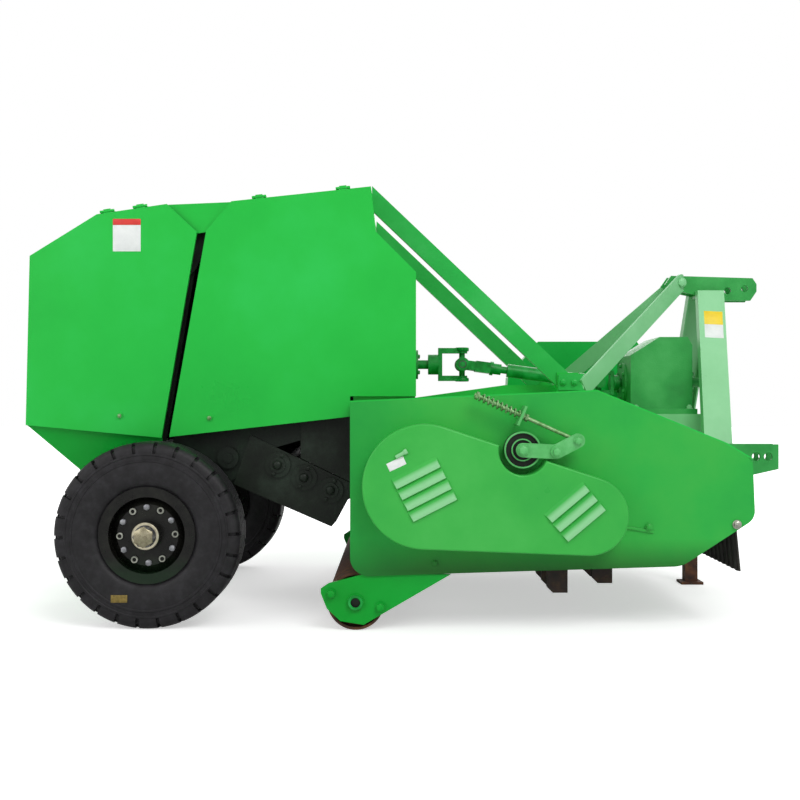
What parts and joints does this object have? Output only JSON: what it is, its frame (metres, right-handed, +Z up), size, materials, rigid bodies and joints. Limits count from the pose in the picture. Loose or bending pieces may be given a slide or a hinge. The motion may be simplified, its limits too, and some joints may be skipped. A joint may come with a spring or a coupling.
{
  "type": "round baler",
  "caption": "Towed straw-crushing round baler: flail crusher and auger on a three-point hitch, roller conveyor, bale chamber with opening tailgate, two wheels.",
  "frame": {"origin": "on the ground below the middle of the machine", "axes": "+X forward to the tractor, +Y to the machine left, +Z up"},
  "size_m": [2.5701, 1.738, 1.4575],
  "materials": {
    "green_paint": "gloss green enamel",
    "pale_green": "gloss light green enamel",
    "frame_green": "green enamel",
    "dark_green": "dark green enamel, grimy",
    "roller_steel": "plain steel tube",
    "worn_steel": "dark worn forged steel",
    "rusty_steel": "brown rust over steel",
    "zinc": "zinc plated",
    "rim_black": "satin black enamel",
    "tyre_rubber": "matt tyre rubber",
    "black_rubber": "matt ribbed rubber"
  },
  "bodies": {
    "frame": {"axle": "frame_green", "chamber_rollers": "roller_steel", "chamber_skin": "green_paint", "chamber_wall_right": "dark_green", "chamber_wall_left": "dark_green", "conveyor_side_right": "dark_green", "conveyor_side_left": "dark_green", "conveyor_rollers": "roller_steel", "conveyor_floor": "dark_green", "crusher_side_right": "green_paint", "crusher_side_left": "green_paint", "hood": "green_paint", "crusher_back": "dark_green", "auger_trough": "dark_green", "roller_bracket_right": "green_paint", "roller_bracket_left": "green_paint", "front_curtain": "black_rubber", "front_beam": "frame_green", "top_link_ears": "green_paint", "mast_post_right": "pale_green", "mast_post_left": "pale_green", "mast_brace_right": "pale_green", "mast_brace_left": "pale_green", "chamber_strut_right": "green_paint", "chamber_strut_left": "green_paint", "lower_link_ears_right": "green_paint", "lower_link_ears_left": "green_paint", "gearbox_stand": "pale_green", "gearbox": "pale_green", "chamber_gearbox": "dark_green", "cardan_shaft": "dark_green", "drive_guard": "green_paint", "belt_cover": "green_paint", "tensioner_arm": "pale_green", "tensioner_rod": "zinc", "tensioner_spring": "zinc", "tensioner_bracket": "pale_green"},
    "tailgate": {"tailgate_rollers": "roller_steel", "tailgate_skin": "green_paint", "tailgate_wall_right": "dark_green", "tailgate_wall_left": "dark_green", "tailgate_skirt_right": "green_paint", "tailgate_skirt_left": "green_paint"},
    "right_front_door": {"front_door_right": "green_paint"},
    "left_front_door": {"front_door_left": "green_paint"},
    "right_tail_door": {"tailgate_door_right": "green_paint"},
    "left_tail_door": {"tailgate_door_left": "green_paint"},
    "right_wheel": {"tyre_right": "tyre_rubber", "rim_right": "rim_black"},
    "left_wheel": {"tyre_left": "tyre_rubber", "rim_left": "rim_black"},
    "flail_rotor": {"flail_rotor": "worn_steel"},
    "feed_auger": {"feed_auger": "dark_green"},
    "press_roller": {"press_roller": "rusty_steel"},
    "idler_pulley": {"idler_pulley": "zinc"},
    "parking_leg": {"parking_leg": "rusty_steel"}
  },
  "joints": [
    {"name": "tailgate_hinge", "type": "hinge", "parent": "frame", "child": "tailgate", "pos_m": [-0.705, 0, 1.296], "axis": [0, 1, 0], "range_deg": [0, 65]},
    {"name": "right_front_door_hinge", "type": "hinge", "parent": "frame", "child": "right_front_door", "pos_m": [-0.5142, -0.55, 1.3948], "axis": [-0.9944, 0, -0.1057], "range_deg": [0, 50]},
    {"name": "left_front_door_hinge", "type": "hinge", "parent": "frame", "child": "left_front_door", "pos_m": [-0.5142, 0.55, 1.3948], "axis": [0.9944, 0, 0.1057], "range_deg": [0, 50]},
    {"name": "right_tail_door_hinge", "type": "hinge", "parent": "tailgate", "child": "right_tail_door", "pos_m": [-1.0159, -0.55, 1.347], "axis": [-0.9893, 0, -0.1456], "range_deg": [0, 50]},
    {"name": "left_tail_door_hinge", "type": "hinge", "parent": "tailgate", "child": "left_tail_door", "pos_m": [-1.0159, 0.55, 1.347], "axis": [0.9893, 0, 0.1456], "range_deg": [0, 50]},
    {"name": "right_wheel_axle", "type": "hinge", "parent": "frame", "child": "right_wheel", "pos_m": [-0.848, -0.65, 0.295], "axis": [0, 1, 0], "continuous": true},
    {"name": "left_wheel_axle", "type": "hinge", "parent": "frame", "child": "left_wheel", "pos_m": [-0.848, 0.65, 0.295], "axis": [0, 1, 0], "continuous": true},
    {"name": "flail_rotor_spin", "type": "hinge", "parent": "frame", "child": "flail_rotor", "pos_m": [0.527, 0, 0.368], "axis": [0, 1, 0], "continuous": true},
    {"name": "feed_auger_spin", "type": "hinge", "parent": "frame", "child": "feed_auger", "pos_m": [0.026, 0, 0.458], "axis": [0, 1, 0], "continuous": true},
    {"name": "press_roller_spin", "type": "hinge", "parent": "frame", "child": "press_roller", "pos_m": [-0.188, 0, 0.09], "axis": [0, 1, 0], "continuous": true},
    {"name": "idler_spin", "type": "hinge", "parent": "frame", "child": "idler_pulley", "pos_m": [0.327, -0.8, 0.569], "axis": [0, 1, 0], "continuous": true},
    {"name": "parking_leg_slide", "type": "slide", "parent": "frame", "child": "parking_leg", "axis": [0, 0, 1], "range_m": [0, 0.15]}
  ],
  "couplings": [
    {"joint": "feed_auger_spin", "follows": "flail_rotor_spin", "ratio": 0.6}
  ]
}
